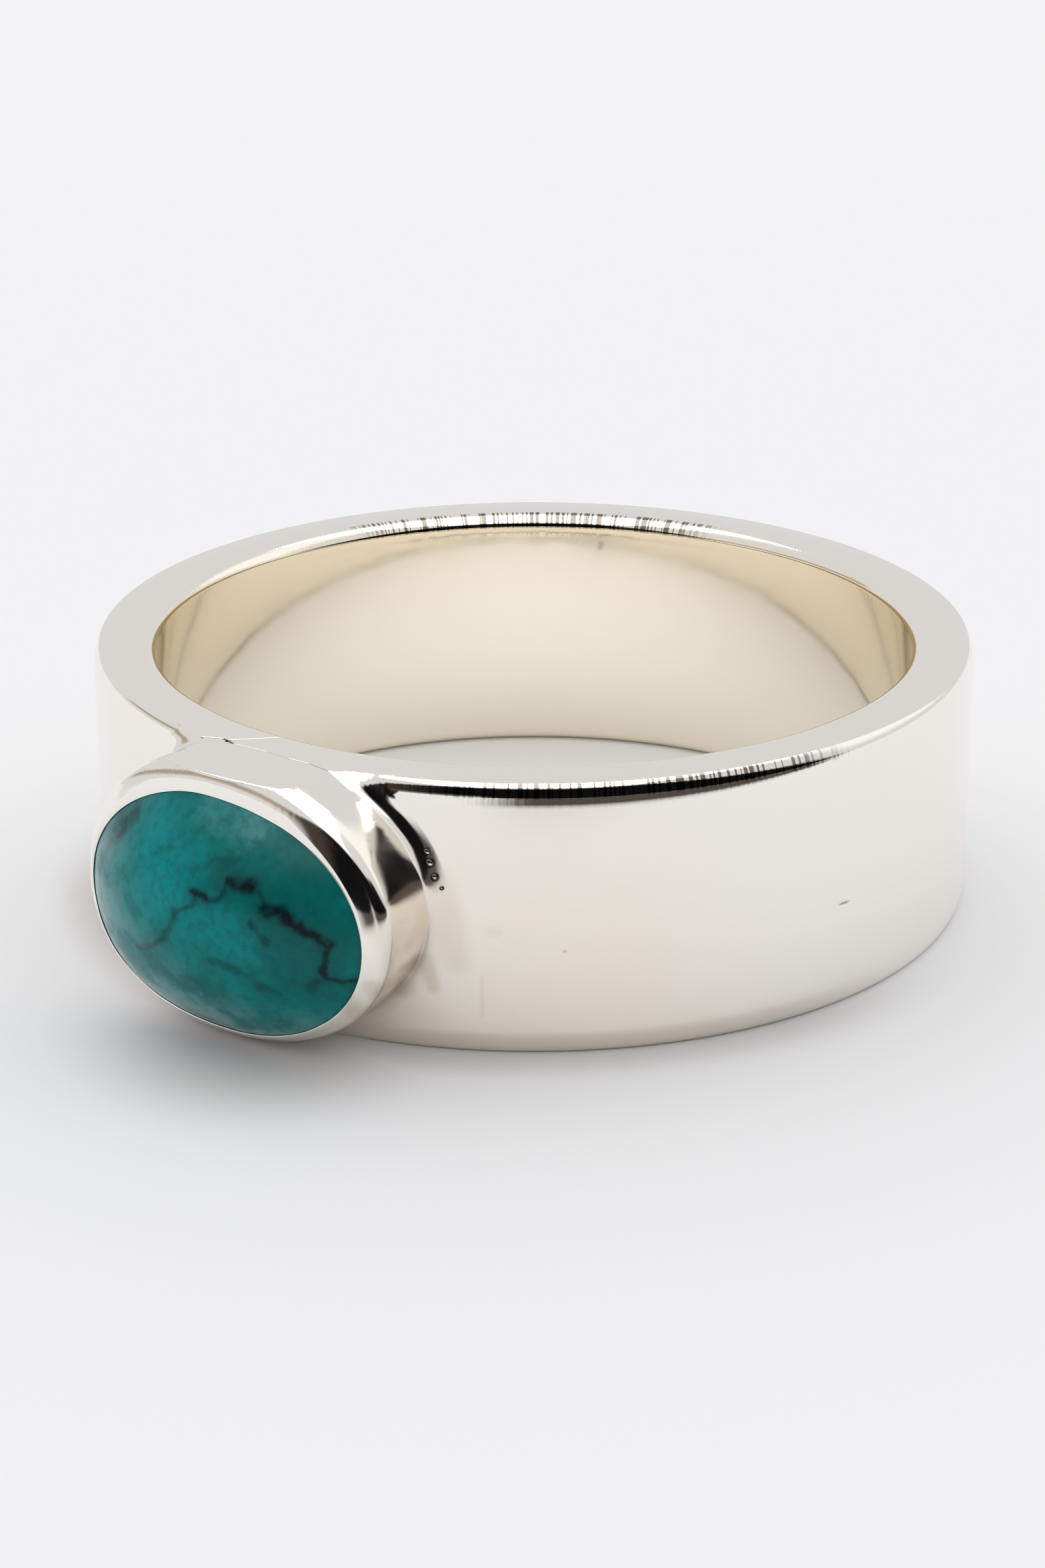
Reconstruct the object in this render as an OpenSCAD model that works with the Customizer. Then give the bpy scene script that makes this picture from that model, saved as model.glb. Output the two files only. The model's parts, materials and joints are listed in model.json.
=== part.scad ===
// A plain flat band with an oval cabochon in a bezel that is soldered to it.
// Z is the axis of the finger, z = 0 is the middle of the band's width, and the stone faces -Y.
// All sizes are in millimetres and all angles in degrees.

/* [Band] */
// Inside diameter, which is the finger size
finger_d = 18.5; // [17:0.5:22]
// Thickness of the band's wall
band_wall = 1.5; // [1.4:0.1:2]
// Width of the band, along the finger
band_w = 6.45; // [6.3:0.05:6.7]
// Rounding of the band's two outer edges
outer_edge_r = 0.3; // [0.1:0.05:0.4]
// Rounding of the band's two inner edges
inner_edge_r = 0.2; // [0.1:0.05:0.3]

/* [Stone] */
// Length of the stone, round the finger
stone_l = 8; // [7.6:0.1:8.4]
// Width of the stone, along the finger
stone_w = 6; // [5.9:0.05:6.1]
// Height of the whole stone
stone_h = 2.85; // [2.6:0.05:2.95]
// Latitude at which the dome is cut from its ellipsoid: a higher one makes a dome with flatter flanks
dome_latitude = 38; // [36:1:44]

/* [Bezel] */
// Metal beside the stone at the two ends of the oval
end_wall = 0.25; // [0.2:0.05:0.4]
// Metal beside the stone at its two long sides, before it is filed flush with the rims
side_wall = 0.55; // [0.5:0.05:0.6]
// Height of the lip over the crown of the band
lip_h = 1.55; // [1.5:0.05:1.8]
// How far the lip is pushed in over the edge of the stone
lip_overlap = 0.17; // [0.1:0.01:0.18]
// Width of the flat top of the lip at the two ends of the oval
lip_land = 0.12; // [0.08:0.01:0.16]
// Height of the shoulder, where the wall is pushed in below the lip
shoulder_h = 1; // [0.6:0.1:1.2]

/* [Fit] */
// Gap between the stone and the metal
stone_gap = 0.05; // [0.04:0.01:0.06]

/* [Hidden] */
$fn = 96;

finger_r = finger_d / 2;
band_r = finger_r + band_wall;

// Half lengths and half widths of three ovals: the stone, the cup that takes it and the bezel's outside
stone_a = stone_l / 2;
stone_b = stone_w / 2;
cup_a = stone_a + stone_gap;
cup_b = stone_b + stone_gap;
bezel_a = stone_a + end_wall;
bezel_b = stone_b + side_wall;

// Heights over the finger's axis. The bezel's foot is sunk a little into the band, which curves away below it.
foot_sink = 0.15;
bezel_foot = sqrt(band_r * band_r - bezel_a * bezel_a) - foot_sink;
lip_top = band_r + lip_h;
cup_floor = band_r + stone_gap;
stone_foot = cup_floor + stone_gap;

// The cup's wall leans in over this height to make the lip, and the stone's upright edge ends just below it
lip_lean = 0.25;
girdle_h = lip_top - lip_lean - stone_gap - stone_foot;

// The shoulder is an arc that leaves the wall upright and ends at the outside of the lip's flat top
shoulder_in = end_wall + lip_overlap - lip_land;
shoulder_r = (shoulder_in * shoulder_in + shoulder_h * shoulder_h) / (2 * shoulder_in);
shoulder_turn = asin(shoulder_h / shoulder_r);

// What is cut away passes out of the solid by this much
cut_through = 1;

// Points round each oval, rings up the shoulder and the dome, and the latitude of the dome's small flat tip
oval_points = 72;
shoulder_rings = 6;
dome_rings = 20;
tip_latitude = 89.5;

// A solid through a stack of ovals. Each row is an oval's half length along X, half width along Y and height.
module oval_stack(rows) {
    points = [
        for (row = rows, i = [0 : oval_points - 1])
            let (t = 360 * i / oval_points)
            [row.x * cos(t), row.y * sin(t), row.z]
    ];
    top = (len(rows) - 1) * oval_points;
    faces = [
        [for (i = [0 : oval_points - 1]) i],
        for (low = [0 : oval_points : top - 1], i = [0 : oval_points - 1])
            let (next = (i + 1) % oval_points, high = low + oval_points)
            [low + next, low + i, high + i, high + next],
        [for (i = [oval_points - 1 : -1 : 0]) top + i]
    ];
    polyhedron(points, faces);
}

// Turns what is drawn with its height along Z to face -Y, with its length along X
module on_the_front() {
    rotate([90, 0, 0]) children();
}

// The band's section: a rectangle with round corners
module band_section() {
    half_w = band_w / 2;
    translate([finger_r + inner_edge_r, -half_w])
        square([band_wall - inner_edge_r - outer_edge_r, band_w]);
    translate([finger_r, inner_edge_r - half_w])
        square([inner_edge_r, band_w - 2 * inner_edge_r]);
    translate([band_r - outer_edge_r, outer_edge_r - half_w])
        square([outer_edge_r, band_w - 2 * outer_edge_r]);
    for (side = [-1, 1]) {
        translate([finger_r + inner_edge_r, side * (half_w - inner_edge_r)]) circle(inner_edge_r);
        translate([band_r - outer_edge_r, side * (half_w - outer_edge_r)]) circle(outer_edge_r);
    }
}

module band() {
    rotate_extrude() band_section();
}

// The bezel: an upright wall whose shoulder curves in to the lip, filed flush with both rims of the band
module bezel() {
    intersection() {
        on_the_front() oval_stack([
            [bezel_a, bezel_b, bezel_foot],
            for (i = [0 : shoulder_rings])
                let (t = shoulder_turn * i / shoulder_rings, inset = shoulder_r * (1 - cos(t)))
                [bezel_a - inset, bezel_b - inset, lip_top - shoulder_h + shoulder_r * sin(t)]
        ]);
        translate([-bezel_a - cut_through, -lip_top - cut_through, -band_w / 2])
            cube([2 * (bezel_a + cut_through), lip_top + cut_through, band_w]);
    }
}

// What is cut out for the stone: straight up its edge, then leaning in under the lip
module cup() {
    mouth_in = stone_gap + lip_overlap;
    on_the_front() oval_stack([
        [cup_a, cup_b, cup_floor],
        [cup_a, cup_b, lip_top - lip_lean],
        [cup_a - mouth_in, cup_b - mouth_in, lip_top],
        [cup_a - mouth_in, cup_b - mouth_in, lip_top + cut_through]
    ]);
}

module silver_band_and_bezel() {
    color("silver")
        difference() {
            union() {
                band();
                bezel();
            }
            cup();
        }
}

// The stone: a short upright edge, and over it the cap of an ellipsoid
module turquoise_cabochon() {
    dome_h = stone_h - girdle_h;
    cut = sin(dome_latitude);
    color("teal") on_the_front() oval_stack([
        [stone_a, stone_b, stone_foot],
        for (i = [0 : dome_rings])
            let (latitude = dome_latitude + (tip_latitude - dome_latitude) * i / dome_rings)
            let (share = cos(latitude) / cos(dome_latitude))
            let (rise = (sin(latitude) - cut) / (1 - cut))
            [stone_a * share, stone_b * share, stone_foot + girdle_h + dome_h * rise]
    ]);
}

silver_band_and_bezel();
turquoise_cabochon();
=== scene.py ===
# %% [markdown]
# A silver ring with a turquoise, in cells.
# The real ring is a plain flat band of sterling silver. An oval cup of silver strip, the bezel, is soldered
# onto it, and the turquoise sits in the cup, with the top of the cup's wall pushed over the stone's edge.
# We first load the measured solids of the ring as a frame. They fix every size, and what we model here
# replaces them with the finish of the real thing: soft edges, solder, a burnisher's marks, pits and veins.

# %% The frame
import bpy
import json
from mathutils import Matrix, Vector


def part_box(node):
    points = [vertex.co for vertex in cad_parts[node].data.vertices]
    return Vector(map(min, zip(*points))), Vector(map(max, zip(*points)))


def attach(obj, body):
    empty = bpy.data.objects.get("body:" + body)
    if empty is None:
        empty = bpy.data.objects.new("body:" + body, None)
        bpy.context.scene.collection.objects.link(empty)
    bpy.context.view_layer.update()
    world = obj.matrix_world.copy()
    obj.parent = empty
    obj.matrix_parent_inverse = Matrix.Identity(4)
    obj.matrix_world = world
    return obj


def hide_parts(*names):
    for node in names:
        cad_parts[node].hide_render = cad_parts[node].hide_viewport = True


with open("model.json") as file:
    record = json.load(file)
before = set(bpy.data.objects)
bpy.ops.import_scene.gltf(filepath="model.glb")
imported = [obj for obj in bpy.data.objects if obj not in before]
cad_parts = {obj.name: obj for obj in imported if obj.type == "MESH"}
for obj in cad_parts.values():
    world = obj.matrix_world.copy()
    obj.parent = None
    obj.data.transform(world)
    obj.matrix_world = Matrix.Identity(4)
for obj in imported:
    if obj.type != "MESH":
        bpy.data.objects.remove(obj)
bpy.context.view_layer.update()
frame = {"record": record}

# %% [markdown]
# Sizes come from the frame where it has them. The band lies on its side: Z is the axis of the finger,
# z = 0 is the middle of the band's width, and the stone faces -Y. So a height over the finger's axis
# is -y, and we name it so throughout. Everything is in metres, because that is Blender's unit, and MM
# lets us write the sizes of a jewel as a jeweller does.

# %% Sizes from the frame
import json
import math

import bmesh
import bpy
from mathutils import Matrix, Vector

MM = 0.001

metal_low, metal_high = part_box("silver_band_and_bezel")
stone_low, stone_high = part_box("turquoise_cabochon")
band_r = metal_high.x
rim = metal_high.z
lip_top = -metal_low.y
stone_a, stone_b = stone_high.x, stone_high.z
stone_foot, stone_top = -stone_high.y, -stone_low.y
bore = next(mount for mount in frame["record"]["mounts"] if mount["kind"] == "bore")
finger_r = bore["dims"]["r_mm"] * MM
band_wall = band_r - finger_r
print("band radius, half width and lip height in mm:", [round(v / MM, 3) for v in (band_r, rim, lip_top)])

# %% [markdown]
# The camera looks at the ring from the front right and 21 degrees above the table, with a long lens. Its
# place and directions were fitted to the outlines of the band's two rims and of the stone. A camera's
# matrix holds its right, up and back directions as columns, and its place as the last one.

# %% Camera
CAMERA_PLACE = Vector((46.362, -68.734, 31.454)) * MM
CAMERA_RIGHT = Vector((0.82757, 0.56136, -0.00214))
CAMERA_UP = Vector((-0.20248, 0.30206, 0.93154))
CAMERA_LENS = 81.867
CAMERA_SENSOR = 36.0
NEAREST, FARTHEST = 0.5 * MM, 10.0

bpy.ops.object.select_all(action="DESELECT")
bpy.ops.object.camera_add(location=CAMERA_PLACE)
camera = bpy.context.object
camera.name = "camera"
back = CAMERA_RIGHT.cross(CAMERA_UP)
camera.matrix_world = Matrix.LocRotScale(
    CAMERA_PLACE, Matrix((CAMERA_RIGHT, CAMERA_UP, back)).transposed().to_quaternion(), None
)
camera.data.lens = CAMERA_LENS
camera.data.sensor_width = CAMERA_SENSOR
camera.data.clip_start = NEAREST
camera.data.clip_end = FARTHEST
bpy.context.scene.camera = camera
print("camera to the middle of the band in mm:", round(CAMERA_PLACE.length / MM, 1))

# %% [markdown]
# Before the modelling, a few helpers. Blender's operators act on whatever is selected, so we deselect
# everything before a new primitive is added and take one piece alone before it is changed. In edit mode
# we pick vertices by their place.

# %% Helpers for modelling
def start_fresh():
    """Back to object mode with nothing selected."""
    if bpy.context.mode != "OBJECT":
        bpy.ops.object.mode_set(mode="OBJECT")
    bpy.ops.object.select_all(action="DESELECT")


def settle(name):
    """Names the new object and puts its place, turn and size into its mesh."""
    piece = bpy.context.object
    piece.name = piece.data.name = name
    bpy.ops.object.transform_apply(location=True, rotation=True, scale=True)
    return piece


def take(piece):
    """Selects this piece alone and makes it the active one."""
    start_fresh()
    piece.select_set(True)
    bpy.context.view_layer.objects.active = piece


def edit():
    """Edit mode, picking vertices."""
    bpy.ops.object.mode_set(mode="EDIT")
    bpy.ops.mesh.select_mode(type="VERT")


def pick(wanted):
    """Selects the vertices whose place is wanted, and the edges and faces between them."""
    bpy.ops.mesh.select_mode(type="VERT")
    mesh = bmesh.from_edit_mesh(bpy.context.edit_object.data)
    for vertex in mesh.verts:
        vertex.select = wanted(vertex.co)
    mesh.select_flush_mode()
    bmesh.update_edit_mesh(bpy.context.edit_object.data)
    return sum(vertex.select for vertex in mesh.verts)


def close_up():
    """Turns all faces outwards and leaves edit mode."""
    bpy.ops.mesh.select_all(action="SELECT")
    bpy.ops.mesh.normals_make_consistent(inside=False)
    bpy.ops.object.mode_set(mode="OBJECT")


def count(piece):
    """The piece's triangles, its open edges and its volume."""
    mesh = bmesh.new()
    mesh.from_mesh(piece.data)
    open_edges = sum(len(edge.link_faces) != 2 for edge in mesh.edges)
    triangles = sum(len(face.verts) - 2 for face in mesh.faces)
    volume = mesh.calc_volume(signed=True) / MM**3
    mesh.free()
    print(f"{piece.name}: {triangles} triangles, {open_edges} open edges, {volume:.1f} cubic mm")


# %% [markdown]
# Bezel and stone are both built ring by ring: we extrude the selected ring and lay the new one on its own
# oval. Two helpers do that, and a third one adds a softly fading push, as with proportional editing.

# %% Helpers for rings
PUSHED_SPOT = 0.3 * MM


def lay(half_length, half_width, height, middle=(0.0, 0.0)):
    """Puts the selected ring on an oval round the middle (x, z), at height(x, z) over the finger's axis."""
    mesh = bmesh.from_edit_mesh(bpy.context.edit_object.data)
    ring = [vertex for vertex in mesh.verts if vertex.select]
    low = Vector([min(vertex.co[i] for vertex in ring) for i in range(3)])
    high = Vector([max(vertex.co[i] for vertex in ring) for i in range(3)])
    here = (low + high) / 2
    stretch = (2 * half_length / (high.x - low.x), 1, 2 * half_width / (high.z - low.z))
    bpy.ops.transform.resize(value=stretch, center_override=here)
    bpy.ops.transform.translate(value=(middle[0] - here.x, 0, middle[1] - here.z))
    for vertex in ring:
        vertex.co.y = -height(vertex.co.x, vertex.co.z)
    bmesh.update_edit_mesh(bpy.context.edit_object.data)


def next_ring(half_length, half_width, height, middle=(0.0, 0.0)):
    """Extrudes the selected ring and lays the new one."""
    bpy.ops.mesh.extrude_region_move()
    lay(half_length, half_width, height, middle)


def push(piece, at, move, reach):
    """Moves what lies round a place by a small step that fades out towards the reach."""
    take(piece)
    edit()
    picked = pick(lambda place: (place - at).length < PUSHED_SPOT)
    bpy.ops.transform.translate(
        value=move,
        use_proportional_edit=True,
        proportional_edit_falloff="SMOOTH",
        proportional_size=reach,
    )
    bpy.ops.object.mode_set(mode="OBJECT")
    print(f"{piece.name}: pushed {picked} points and what is near them")


# %% [markdown]
# The band is sheet silver bent to a ring, and its edges are softened with a file and a wheel. A lathe
# makes it: we draw the section as a plane, round its corners with a vertex bevel and spin it round the
# finger. Spin was chosen over a boolean of two cylinders because it gives clean rings of quads, and
# polished metal shows every uneven face. The wheel takes more off the outside than off the rim, so the
# corners are oval: ACROSS counts through the wall and ALONG counts down the band's width. We squeeze the
# section before each bevel and stretch it back.

# %% The band's section
OUTER_ACROSS, OUTER_ALONG = 0.19 * MM, 0.56 * MM
INNER_ACROSS, INNER_ALONG = 0.38 * MM, 0.34 * MM
ROUND_STEPS = 8
BAND_STEPS = 360
SAME_PLACE = 0.0005 * MM

middle_r = finger_r + band_wall / 2


def squeeze(along):
    """Resizes the section along the finger's axis."""
    bpy.ops.mesh.select_all(action="SELECT")
    bpy.ops.transform.resize(value=(1, 1, along), center_override=(middle_r, 0, 0))


start_fresh()
bpy.ops.mesh.primitive_plane_add(size=1, location=(middle_r, 0, 0), rotation=(math.pi / 2, 0, 0))
bpy.context.object.scale = (band_wall, 2 * rim, 1)
band = settle("band_and_bezel")
edit()
squeeze(OUTER_ACROSS / OUTER_ALONG)
pick(lambda place: place.x > middle_r)
bpy.ops.mesh.bevel(offset=OUTER_ACROSS, segments=ROUND_STEPS, affect="VERTICES")
squeeze(OUTER_ALONG / OUTER_ACROSS)
squeeze(INNER_ACROSS / INNER_ALONG)
pick(lambda place: place.x < middle_r)
bpy.ops.mesh.bevel(offset=INNER_ACROSS, segments=ROUND_STEPS, affect="VERTICES")
squeeze(INNER_ALONG / INNER_ACROSS)
bpy.ops.mesh.delete(type="ONLY_FACE")
print("points in the section:", len(bmesh.from_edit_mesh(band.data).verts))

# %% Spinning the section round the finger
bpy.ops.mesh.select_all(action="SELECT")
bpy.ops.mesh.spin(
    steps=BAND_STEPS,
    angle=2 * math.pi,
    center=(0, 0, 0),
    axis=(0, 0, 1),
    use_auto_merge=False,
)
bpy.ops.mesh.select_all(action="SELECT")
bpy.ops.mesh.remove_doubles(threshold=SAME_PLACE)
close_up()
count(band)

# %% [markdown]
# The turquoise is a cabochon: a flat back, a short upright edge and a dome. A sphere stretched to an
# ellipsoid and cut at a latitude gives the dome, and one extrude gives the edge below it, down to the
# stone's flat back. The stone comes before its setting, as on the bench, because the bezel is bent to it.

# %% The stone
DOME_LATITUDE = math.radians(38)
GIRDLE_DROP = 0.20 * MM
GIRDLE_TAPER = 0.05 * MM
STONE_SIDES = 192
STONE_RINGS = 128

dome_a = (stone_a - GIRDLE_TAPER) / math.cos(DOME_LATITUDE)
dome_b = (stone_b - GIRDLE_TAPER) / math.cos(DOME_LATITUDE)
girdle_top = lip_top - GIRDLE_DROP
dome_c = (stone_top - girdle_top) / (1 - math.sin(DOME_LATITUDE))
dome_middle = girdle_top - dome_c * math.sin(DOME_LATITUDE)


def dome_height(x, z):
    """Height of the dome over the finger's axis."""
    return dome_middle + dome_c * math.sqrt(1 - (x / dome_a) ** 2 - (z / dome_b) ** 2)


start_fresh()
bpy.ops.mesh.primitive_uv_sphere_add(
    segments=STONE_SIDES,
    ring_count=STONE_RINGS,
    radius=1,
    location=(0, -dome_middle, 0),
    rotation=(math.pi / 2, 0, 0),
)
bpy.context.object.scale = (dome_a, dome_b, dome_c)
stone = settle("turquoise_stone")
edit()
bpy.ops.mesh.select_all(action="SELECT")
bpy.ops.mesh.bisect(
    plane_co=(0, -girdle_top, 0),
    plane_no=(0, 1, 0),
    clear_outer=True,
    threshold=SAME_PLACE,
)
pick(lambda place: abs(-place.y - girdle_top) < SAME_PLACE)
next_ring(stone_a, stone_b, lambda x, z: stone_foot)
bpy.ops.mesh.edge_face_add()
close_up()
count(stone)

# %% [markdown]
# The bezel is a strip of thin silver bent to an oval and soldered onto the band. Its foot follows the
# band's curve, its wall stands upright, and its shoulder curves in to the lip that holds the stone. We
# start from a circle, extrude it ring by ring and resize each ring to the next oval. The lowest rings are
# dropped onto the band, so we first need the band's own height at any place. A second helper says how far
# a value has gone on its way, for shapes that change from one part of the oval to another.

# %% Height of the band under the bezel
def band_height(x, z):
    """Height of the band's outside over the finger's axis, with its rounded edge."""
    into_round = max(0.0, min(abs(z), rim) - (rim - OUTER_ALONG)) / OUTER_ALONG
    r = band_r - OUTER_ACROSS * (1 - math.sqrt(max(0.0, 1 - into_round**2)))
    return math.sqrt(r * r - x * x)


def way_from(start, end, value):
    """How far a value has gone from start to end, from 0 to 1."""
    return min(1.0, max(0.0, (value - start) / (end - start)))


heights = [round(band_height(0, z) / MM, 2) for z in (0, rim)]
print("height of the band in its middle and at its rim, in mm:", heights)

# %% [markdown]
# Solder runs into the corner between wall and band and leaves a small hollow fillet. Its section is a
# quarter of an oval, which runs out further towards the band's rims than at the bezel's two ends. Near the
# upper rim it climbs only half as high. It rises from the band at a small angle, so that it cuts the band
# in a clean line, and a tail carries it on down into the band's thickness for the union that comes later.
# The strip is a little pinched where it stands in the solder, so the foot is shorter than the wall above.

# %% The foot with its solder fillet
BEZEL_SIDES = 240
END_WALL = 0.25 * MM
SIDE_WALL = 0.34 * MM
WALL_MIDDLE = (0.0, 0.19 * MM)
WAIST = 0.15 * MM
SOLDER_HEIGHT = 0.38 * MM
SOLDER_AT_RIM = 0.5
SOLDER_FALLS = (1.6 * MM, 2.8 * MM)
SOLDER_RUN = (0.38 * MM, 0.70 * MM)
SOLDER_STEPS = 8
SOLDER_END = math.radians(15)
SUNK = 0.45 * MM
TAIL = 0.05 * MM

bezel_a = stone_a + END_WALL
bezel_b = stone_b + SIDE_WALL
foot_a = bezel_a - WAIST


def solder_oval(turn, more=0.0):
    """The fillet's oval where it has turned this far from the band."""
    out = 1 - math.sin(turn)
    return foot_a + out * SOLDER_RUN[0] + more, bezel_b + out * SOLDER_RUN[1] + more


def solder_up(turn, z=0.0):
    """How high it is there: towards the upper rim the solder lies lower."""
    share = 1 + way_from(*SOLDER_FALLS, z) * (SOLDER_AT_RIM - 1)
    return SOLDER_HEIGHT * (1 - math.cos(turn)) * share


start_fresh()
bpy.ops.mesh.primitive_circle_add(
    vertices=BEZEL_SIDES,
    radius=bezel_a,
    location=(0, -band_r, 0),
    rotation=(math.pi / 2, 0, 0),
)
bezel = settle("bezel")
edit()
bpy.ops.mesh.select_all(action="SELECT")
tail_out = (solder_up(SOLDER_END) + TAIL) / math.tan(SOLDER_END)
tail_oval = solder_oval(SOLDER_END, tail_out)
lay(*tail_oval, lambda x, z: band_height(x, z) - SUNK, WALL_MIDDLE)
bpy.ops.mesh.edge_face_add()
bpy.ops.mesh.select_all(action="SELECT")
bpy.ops.mesh.select_mode(type="EDGE")
bpy.ops.mesh.extrude_edges_move()
lay(*tail_oval, lambda x, z: band_height(x, z) - TAIL, WALL_MIDDLE)
for step in range(SOLDER_STEPS + 1):
    turn = SOLDER_END + (math.pi / 2 - SOLDER_END) * step / SOLDER_STEPS
    next_ring(*solder_oval(turn), lambda x, z: band_height(x, z) + solder_up(turn, z), WALL_MIDDLE)
fillet_reach = solder_oval(SOLDER_END)[0] - foot_a
print("the fillet reaches out from the wall by, in mm:", round(fillet_reach / MM, 2))

# %% [markdown]
# Above the fillet the wall stands upright. The burnisher has pushed its upper part in over the stone in
# three goes: it leans in slowly, turns over quickly and ends in a flatter band beside the lip. Each go is
# an arc, given by the angles between which it turns and by its length. We draw two such lines, because
# along the upper long side the shoulder is higher and turns further over than elsewhere.

# %% The shoulder's line
ARCS_AT_TOP = ((0, 18, 0.42 * MM), (18, 58, 0.20 * MM), (58, 80, 0.30 * MM))
ARCS_AT_SIDE = ((0, 18, 0.20 * MM), (18, 50, 0.15 * MM), (50, 64, 0.42 * MM))
TOP_STARTS, TOP_FULL = 1.4 * MM, 3.0 * MM
ARC_STEPS = 6


def shoulder_line(arcs):
    """The shoulder's section from the wall to the lip, as steps inwards and upwards."""
    line = [(0.0, 0.0)]
    for start, end, length in arcs:
        for step in range(ARC_STEPS):
            turn = math.radians(start + (end - start) * (step + 0.5) / ARC_STEPS)
            inwards, upwards = line[-1]
            bit = length / ARC_STEPS
            line.append((inwards + bit * math.sin(turn), upwards + bit * math.cos(turn)))
    return line


line_at_top = shoulder_line(ARCS_AT_TOP)
line_at_side = shoulder_line(ARCS_AT_SIDE)
shoulder_in, shoulder_up = line_at_top[-1]


def below_lip(step, z):
    """How far the shoulder's ring still is below the lip."""
    share = way_from(TOP_STARTS, TOP_FULL, z)
    share = share * share * (3 - 2 * share)
    at_top = line_at_top[-1][1] - line_at_top[step][1]
    at_side = line_at_side[-1][1] - line_at_side[step][1]
    return at_side + share * (at_top - at_side)


print("shoulder goes in and up by, in mm:", round(shoulder_in / MM, 3), round(shoulder_up / MM, 3))

# %% [markdown]
# A narrow lip slopes down from the shoulder to the stone and leaves only a hairline between. The ovals of
# lip and mouth are a little off the foot's, so the lip is thin at the left and below and wide above, and
# it lies a little lower at the left and below. Inside, the wall leans back out to the cup that takes the
# stone, with a small gap all round.

# %% Wall, shoulder, lip and cup
WALL_STEPS = 4
LIP_DROP = 0.01 * MM
LIP_LEAN = (0.011, 0.014)
LIP_OVAL = (3.88 * MM, 2.955 * MM)
LIP_MIDDLE = (-0.06 * MM, 0.025 * MM)
MOUTH_OVAL = (3.82 * MM, 2.82 * MM)
MOUTH_MIDDLE = (-0.05 * MM, -0.04 * MM)
HAIRLINE = 0.02 * MM
CUP_LEAN = 0.3 * MM
GAP = 0.05 * MM

cup_oval = (stone_a + GAP, stone_b + GAP)


def lip_height(x, z):
    """Height of the lip, which leans."""
    return lip_top - LIP_DROP + LIP_LEAN[0] * x + LIP_LEAN[1] * z


for step in range(1, WALL_STEPS + 1):
    share = step / WALL_STEPS
    next_ring(
        foot_a + share * WAIST,
        bezel_b,
        lambda x, z: (1 - share) * (band_height(x, z) + solder_up(math.pi / 2, z))
        + share * (lip_height(x, z) - below_lip(0, z)),
        WALL_MIDDLE,
    )
for step in range(1, len(line_at_top)):
    share = line_at_top[step][0] / shoulder_in
    next_ring(
        bezel_a + share * (LIP_OVAL[0] - bezel_a),
        bezel_b + share * (LIP_OVAL[1] - bezel_b),
        lambda x, z: lip_height(x, z) - below_lip(step, z),
        [here + share * (there - here) for here, there in zip(WALL_MIDDLE, LIP_MIDDLE)],
    )

next_ring(*MOUTH_OVAL, lambda x, z: dome_height(x, z) + HAIRLINE, MOUTH_MIDDLE)
next_ring(stone_a - GIRDLE_TAPER + GAP, stone_b - GIRDLE_TAPER + GAP, lambda x, z: girdle_top + GAP / 2)
next_ring(*cup_oval, lambda x, z: girdle_top - CUP_LEAN)
next_ring(*cup_oval, lambda x, z: stone_foot - GAP)
bpy.ops.mesh.edge_face_add()
close_up()
count(bezel)

# %% [markdown]
# A sharp lip would look machined. The burnisher leaves it round outside and a touch round inside, so we
# bevel its two edges. Each one is found by the oval that it lies on.

# %% Rounding the lip
LIP_ROUND = 0.04 * MM
MOUTH_ROUND = 0.015 * MM
LIP_STEPS = 4
ON_OVAL = 0.001


def way_out(place, oval, middle=(0.0, 0.0)):
    """How far out a place is: 1 is on the oval."""
    return math.hypot((place.x - middle[0]) / oval[0], (place.z - middle[1]) / oval[1])


def at_lip(place, oval, middle):
    """Whether a place is one of the lip's and lies on this oval."""
    return -place.y > girdle_top + GAP and abs(way_out(place, oval, middle) - 1) < ON_OVAL


edit()
lip_edge = (LIP_OVAL, LIP_MIDDLE, LIP_ROUND)
mouth_edge = (MOUTH_OVAL, MOUTH_MIDDLE, MOUTH_ROUND)
for oval, middle, offset in (lip_edge, mouth_edge):
    print("points on the ring:", pick(lambda place: at_lip(place, oval, middle)))
    bpy.ops.mesh.bevel(offset=offset, segments=LIP_STEPS, affect="EDGES")
bpy.ops.object.mode_set(mode="OBJECT")
count(bezel)

# %% [markdown]
# The shoulder of a hand-pushed bezel is never quite even. A Displace modifier with a soft noise moves it
# in and out by a hundredth of a millimetre or two, which is enough to bend the reflections. A vertex
# group keeps the marks to the shoulder and lets them fade out towards the wall and the lip.

# %% Marks of the burnisher
MARK_SIZE = 1.3 * MM
MARK_DEPTH = 0.04 * MM
WALL_FADE = 0.5 * MM
LIP_FADE = 0.3 * MM
MOUTH_EDGE = 1.005

marks = bezel.vertex_groups.new(name="burnished")
for vertex in bezel.data.vertices:
    height = -vertex.co.y
    in_cup = abs(way_out(vertex.co, cup_oval) - 1) < ON_OVAL
    in_mouth = way_out(vertex.co, MOUTH_OVAL, MOUTH_MIDDLE) < MOUTH_EDGE
    depth = lip_height(vertex.co.x, vertex.co.z) - height
    share = min(1.0, 1 + (shoulder_up - depth) / WALL_FADE, depth / LIP_FADE)
    if share > 0 and not in_cup and not in_mouth:
        marks.add([vertex.index], share, "REPLACE")
burnish = bpy.data.textures.new("burnisher_marks", "CLOUDS")
burnish.noise_scale = MARK_SIZE
burnish.noise_depth = 1
take(bezel)
bpy.ops.object.modifier_add(type="DISPLACE")
burnishing = bezel.modifiers[-1]
burnishing.texture = burnish
burnishing.texture_coords = "LOCAL"
burnishing.strength = MARK_DEPTH
burnishing.mid_level = 0.5
burnishing.vertex_group = marks.name
bpy.ops.object.modifier_apply(modifier=burnishing.name)
count(bezel)

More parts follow.
